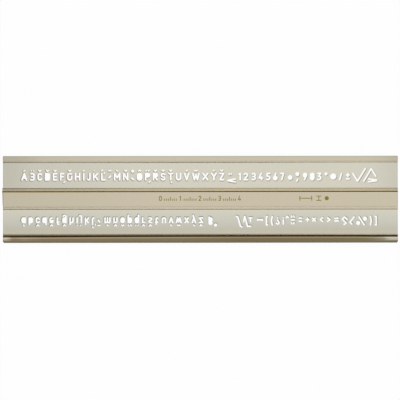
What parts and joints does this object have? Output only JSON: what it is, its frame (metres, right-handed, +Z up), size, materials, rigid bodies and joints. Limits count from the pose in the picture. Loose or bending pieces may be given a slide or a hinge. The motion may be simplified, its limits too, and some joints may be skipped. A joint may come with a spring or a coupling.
{
  "type": "lettering stencil",
  "caption": "Flat see-through lettering stencil: rows of letter, figure and sign openings in thin plates held between a centre rib and raised guide rails.",
  "frame": {"origin": "centre of the underside, in the middle of the length and of the width, on the paper", "axes": "+X along the stencil in the reading direction of the upper row, +Y to the upper guide edge, +Z up from the paper"},
  "size_m": [0.2004, 0.044, 0.0026],
  "materials": {
    "smoke_plastic": "transparent light smoke-grey, polished",
    "warm_smoke_plastic": "transparent warm smoke-grey, polished",
    "brown_smoke_plastic": "transparent brown-tinted, polished",
    "gold_ink": "printed olive-gold ink"
  },
  "bodies": {
    "root": {"upper_letter_plate": "smoke_plastic", "lower_letter_plate": "smoke_plastic", "centre_rib": "warm_smoke_plastic", "upper_edge_rail": "warm_smoke_plastic", "lower_edge_rail": "brown_smoke_plastic", "printed_scale": "gold_ink", "printed_line_sample": "gold_ink", "printed_height_mark": "gold_ink", "printed_dot": "gold_ink"}
  },
  "joints": []
}
